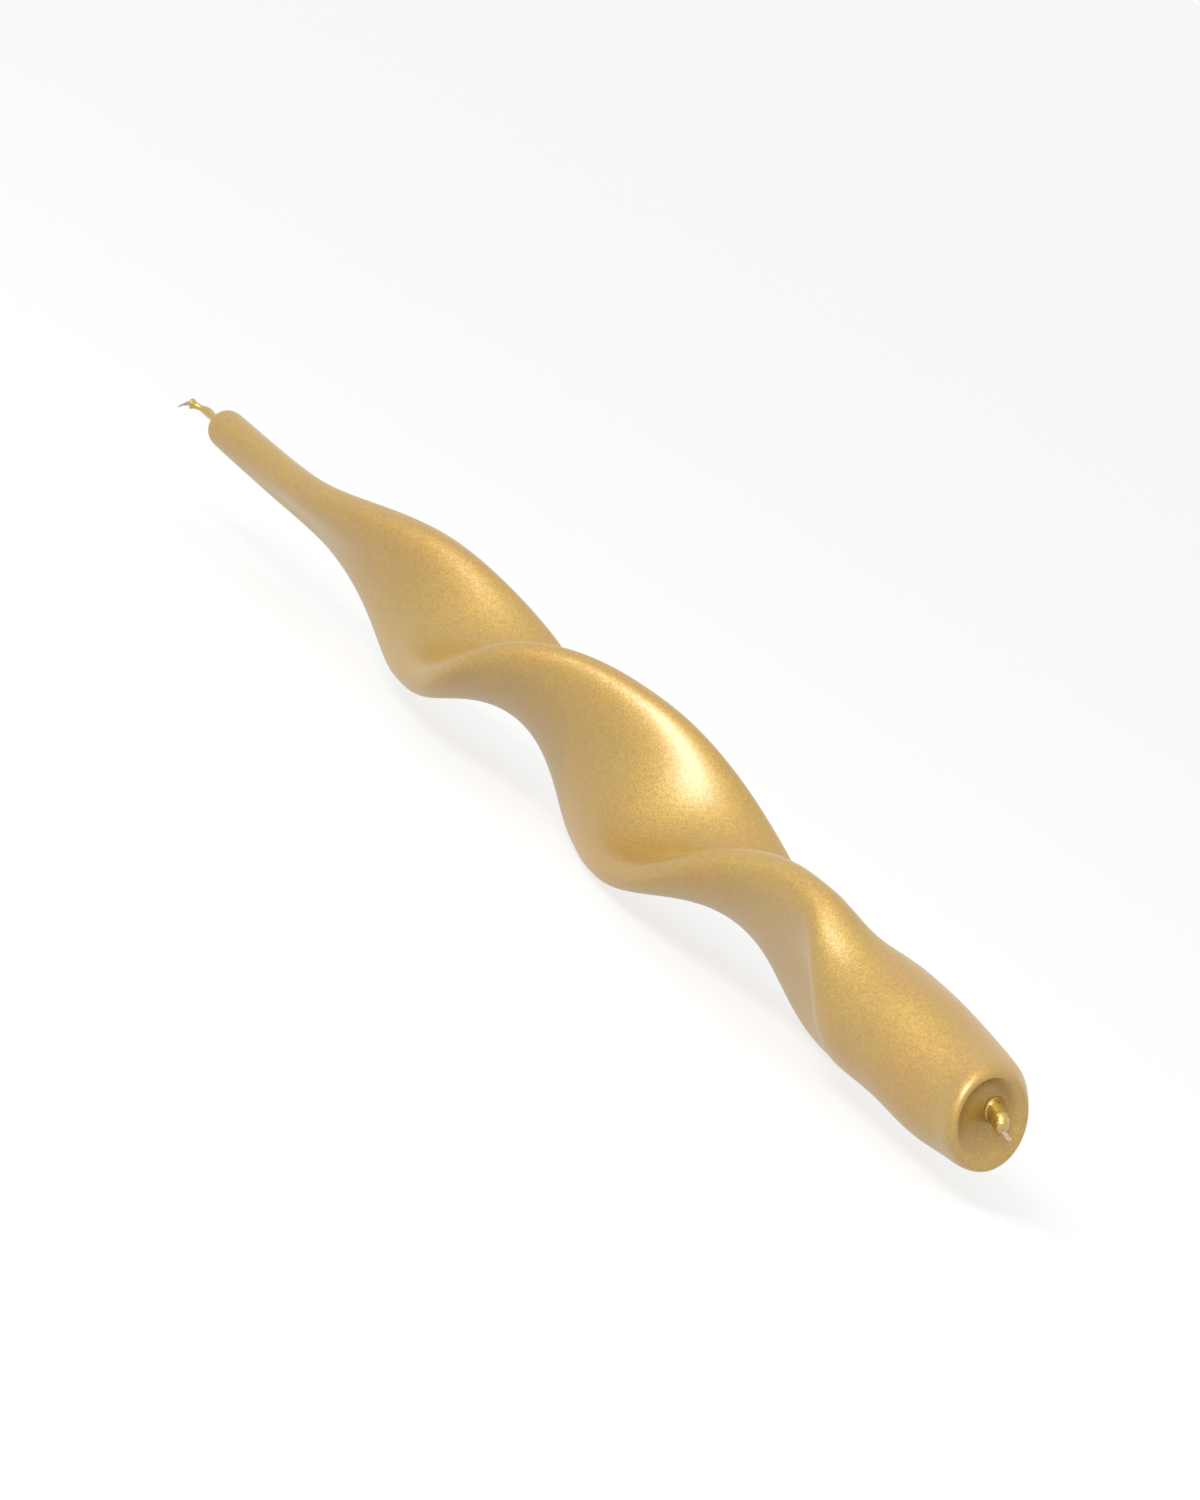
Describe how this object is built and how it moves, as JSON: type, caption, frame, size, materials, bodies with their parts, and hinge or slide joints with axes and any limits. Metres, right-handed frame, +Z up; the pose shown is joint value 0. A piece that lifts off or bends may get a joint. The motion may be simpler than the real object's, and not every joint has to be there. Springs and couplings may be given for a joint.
{
  "type": "twisted taper candle",
  "caption": "Hand-twisted taper candle with a round butt, a flattened left-handed spiral ribbon body, a gold lacquer coat and a lacquered wick with a bare frayed end.",
  "frame": {"origin": "on the surface the candle lies on, under the middle of its box", "axes": "+X along the candle from the wick to the butt, +Y across it, +Z up; the candle lies on its side at rest"},
  "size_m": [0.3038, 0.0386, 0.0336],
  "materials": {
    "gold_lacquer": "satin",
    "overdip_wax": "satin",
    "core_wax": "matte",
    "cotton": "matte"
  },
  "bodies": {
    "root": {"wick": "cotton", "wax_core": "core_wax", "wax_overdip": "overdip_wax", "lacquer_coat": "gold_lacquer", "butt_drip": "gold_lacquer", "wick_lacquer": "gold_lacquer"}
  },
  "joints": []
}
